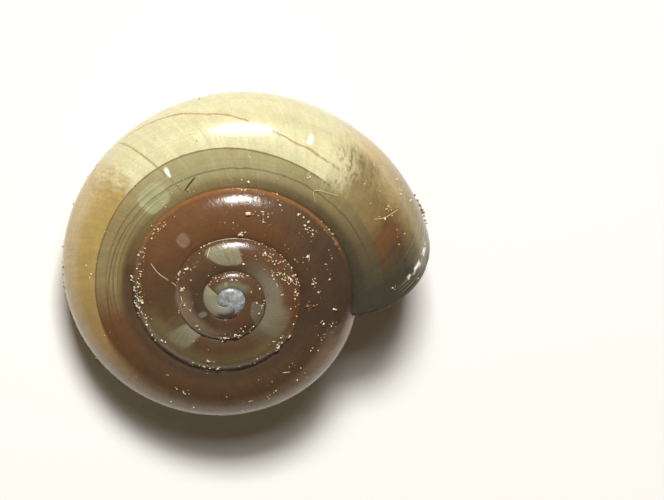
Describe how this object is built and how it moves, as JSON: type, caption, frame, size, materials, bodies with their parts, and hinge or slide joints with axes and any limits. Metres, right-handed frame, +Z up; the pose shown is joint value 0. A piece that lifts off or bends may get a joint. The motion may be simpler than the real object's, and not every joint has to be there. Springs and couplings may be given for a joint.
{
  "type": "land snail shell",
  "caption": "Empty low-spired land snail shell: a thin glossy amber tube coiled clockwise, open at the mouth, with a small pit under its middle.",
  "frame": {"origin": "middle of the shell's box, on the surface that it lies on", "axes": "+Z up with the shell lying on its base, +X towards the side of the mouth, across the longest width"},
  "size_m": [0.013, 0.012, 0.0055],
  "materials": {
    "shell": "glossy, translucent, straw amber with a red-brown spire"
  },
  "bodies": {
    "root": {"shell": "shell"}
  },
  "joints": []
}
